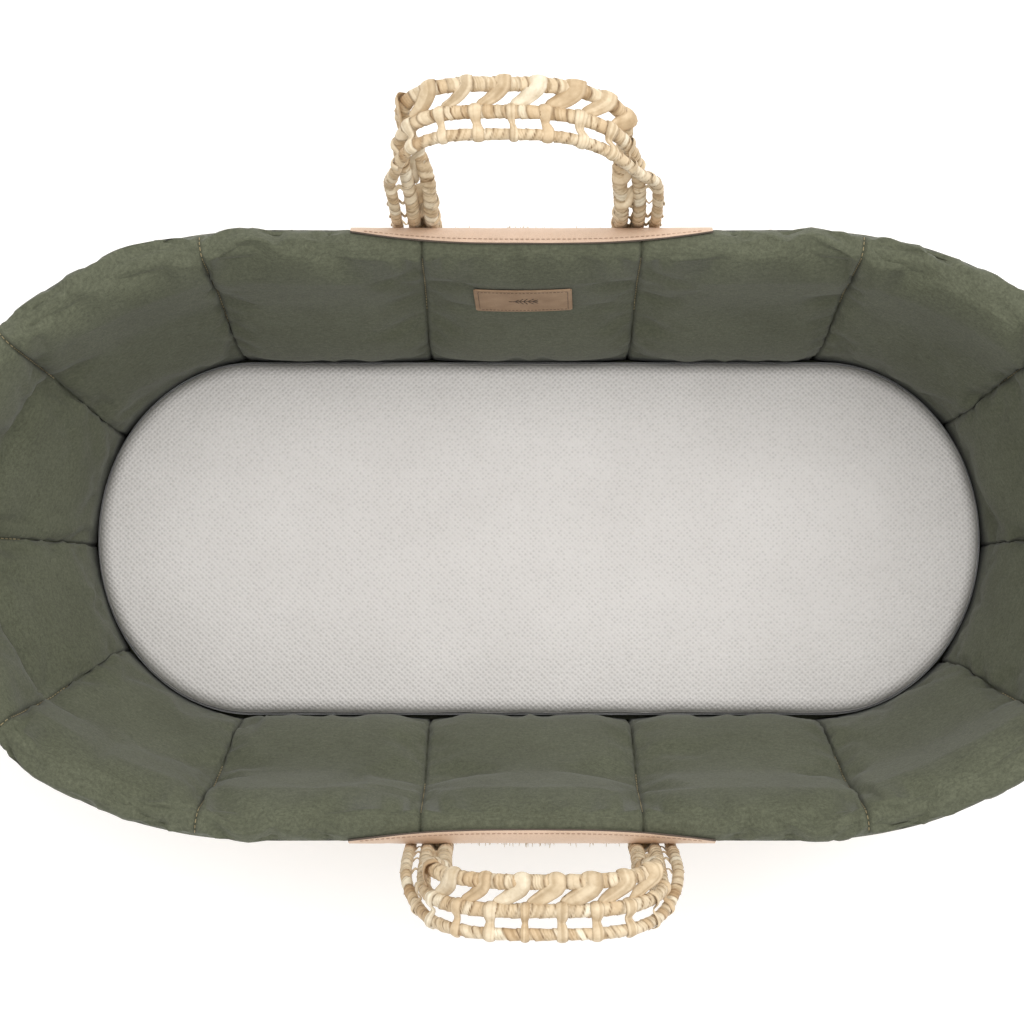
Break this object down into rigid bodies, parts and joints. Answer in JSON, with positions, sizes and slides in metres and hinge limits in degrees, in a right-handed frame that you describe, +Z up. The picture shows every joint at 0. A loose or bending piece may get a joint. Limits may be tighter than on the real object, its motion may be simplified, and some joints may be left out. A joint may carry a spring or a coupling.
{
  "type": "moses basket",
  "caption": "Open woven palm moses basket with a padded liner over its rim, two folding strap handles and a zipped mattress.",
  "frame": {"origin": "centre of the woven base's underside, the face the basket stands on", "axes": "+X along the basket, +Z up, +Y towards the side with the label on its liner"},
  "size_m": [0.946, 0.6099, 0.3951],
  "materials": {
    "palm": "matt plaited palm leaf, straw coloured with darker edges",
    "rim_palm": "matt palm leaf wound round a cord",
    "handle_palm": "satin palm leaf, pale straw with brown strands",
    "liner_fabric": "matt olive plain-weave cotton, quilted",
    "elastic": "matt braided cover",
    "trim_leather": "satin beige leather with one row of stitches",
    "label_leather": "matt tan leather, plain, stitched at the edge",
    "mattress_cover": "soft warm grey-white knit with small dimples",
    "foam": "open-cell foam",
    "zip_tape": "grey woven tape with coil teeth",
    "zip_metal": "satin"
  },
  "bodies": {
    "basket": {"woven_base": "palm", "wall_course_1": "palm", "wall_course_2": "palm", "wall_course_3": "palm", "wall_course_4": "palm", "wall_course_5": "palm", "rim_cord": "rim_palm", "liner_floor": "liner_fabric", "liner_panel_01": "liner_fabric", "liner_panel_02": "liner_fabric", "liner_panel_03": "liner_fabric", "liner_panel_04": "liner_fabric", "liner_panel_05": "liner_fabric", "liner_panel_06": "liner_fabric", "liner_panel_07": "liner_fabric", "liner_panel_08": "liner_fabric", "liner_panel_09": "liner_fabric", "liner_panel_10": "liner_fabric", "liner_panel_11": "liner_fabric", "liner_panel_12": "liner_fabric", "liner_panel_13": "liner_fabric", "liner_panel_14": "liner_fabric", "skirt_left": "liner_fabric", "skirt_right": "liner_fabric", "elastic_left": "elastic", "elastic_right": "elastic", "front_trim": "trim_leather", "rear_trim": "trim_leather", "label": "label_leather", "front_left_handle_tail": "handle_palm", "front_right_handle_tail": "handle_palm", "rear_left_handle_tail": "handle_palm", "rear_right_handle_tail": "handle_palm", "front_left_lashing_lower": "handle_palm", "front_left_lashing_upper": "handle_palm", "front_right_lashing_lower": "handle_palm", "front_right_lashing_upper": "handle_palm", "rear_left_lashing_lower": "handle_palm", "rear_left_lashing_upper": "handle_palm", "rear_right_lashing_lower": "handle_palm", "rear_right_lashing_upper": "handle_palm"},
    "front_handle": {"front_handle_inner_cord": "handle_palm", "front_handle_middle_cord": "handle_palm", "front_handle_outer_cord": "handle_palm", "front_handle_inner_lacing": "handle_palm", "front_handle_outer_lacing": "handle_palm"},
    "rear_handle": {"rear_handle_inner_cord": "handle_palm", "rear_handle_middle_cord": "handle_palm", "rear_handle_outer_cord": "handle_palm", "rear_handle_inner_lacing": "handle_palm", "rear_handle_outer_lacing": "handle_palm"},
    "mattress": {"mattress_core": "foam", "mattress_cover_top": "mattress_cover", "mattress_cover_bottom": "mattress_cover", "zip_tape": "zip_tape"},
    "zip_slider": {"zip_slider": "zip_metal", "zip_pull": "zip_metal"}
  },
  "joints": [
    {"name": "front_handle_swing", "type": "hinge", "parent": "basket", "child": "front_handle", "pos_m": [0.007, -0.2465, 0.264], "axis": [1, 0, 0], "range_deg": [-68, 135]},
    {"name": "rear_handle_swing", "type": "hinge", "parent": "basket", "child": "rear_handle", "pos_m": [-0.004, 0.2465, 0.264], "axis": [-1, 0, 0], "range_deg": [-80, 122]},
    {"name": "mattress_lift", "type": "slide", "parent": "basket", "child": "mattress", "axis": [0, 0, 1], "range_m": [0, 0.42]},
    {"name": "zip_slide", "type": "slide", "parent": "mattress", "child": "zip_slider", "axis": [-1, 0, 0], "range_m": [0, 0.38]}
  ]
}
